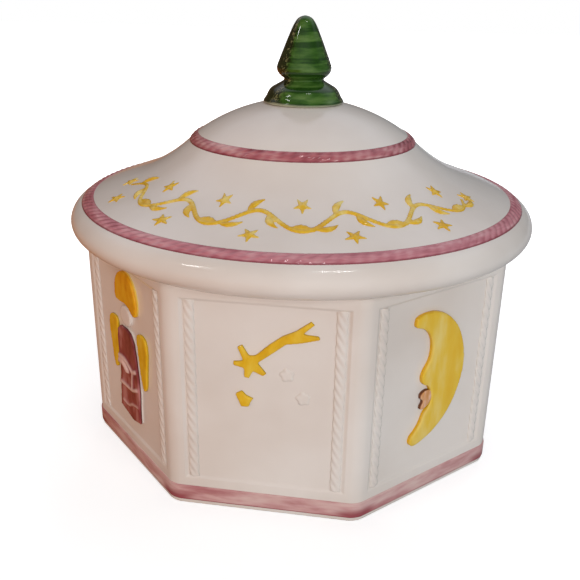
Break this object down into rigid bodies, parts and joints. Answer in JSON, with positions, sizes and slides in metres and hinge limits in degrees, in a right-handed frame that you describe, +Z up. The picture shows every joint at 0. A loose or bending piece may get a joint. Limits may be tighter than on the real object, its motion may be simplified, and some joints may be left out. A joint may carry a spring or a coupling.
{
  "type": "cookie jar",
  "caption": "Eight-sided glazed ceramic cookie jar with rope-framed sunk panels and raised pictures, and a round hollow domed lid that lifts off by a fir-tree knob.",
  "frame": {"origin": "centre of the jar's foot, on the surface that it stands on", "axes": "+Z up through the knob; the front panel, with a comet, faces -Y, and the flats of the octagon face the X and Y axes and the diagonals between them"},
  "size_m": [0.21, 0.21, 0.19],
  "materials": {
    "white": "glossy pinkish-grey white glaze, fired",
    "pink": "glossy brushed pink glaze, fired",
    "yellow": "glossy brushed ochre-yellow glaze, fired",
    "green": "glossy dark green glaze, fired",
    "brown": "glossy red-brown glaze, fired",
    "burgundy": "glossy burgundy glaze, fired"
  },
  "bodies": {
    "jar": {"angel_hair_back_right": "yellow", "angel_hair_front_left": "yellow", "angel_head_back_right": "white", "angel_head_front_left": "white", "angel_left_wing_back_right": "yellow", "angel_left_wing_front_left": "yellow", "angel_right_wing_back_right": "yellow", "angel_right_wing_front_left": "yellow", "angel_robe_back_right": "burgundy", "angel_robe_front_left": "burgundy", "comet_back": "yellow", "comet_front": "yellow", "comet_left": "yellow", "comet_right": "yellow", "foot_band": "pink", "jar_body": "white", "left_rope_back": "white", "left_rope_back_left": "white", "left_rope_back_right": "white", "left_rope_front": "white", "left_rope_front_left": "white", "left_rope_front_right": "white", "left_rope_left": "white", "left_rope_right": "white", "moon_back_left": "yellow", "moon_front_right": "yellow", "moon_lips_back_left": "brown", "moon_lips_front_right": "brown", "right_rope_back": "white", "right_rope_back_left": "white", "right_rope_back_right": "white", "right_rope_front": "white", "right_rope_front_left": "white", "right_rope_front_right": "white", "right_rope_left": "white", "right_rope_right": "white", "small_star_back": "yellow", "small_star_front": "yellow", "small_star_left": "yellow", "small_star_right": "yellow"},
    "lid": {"fir_tree_knob": "green", "lid_shell": "white", "lower_band": "pink", "upper_band": "pink"}
  },
  "joints": [
    {"name": "lid_lift", "type": "slide", "parent": "jar", "child": "lid", "axis": [0, 0, 1], "range_m": [0, 0.1]}
  ]
}
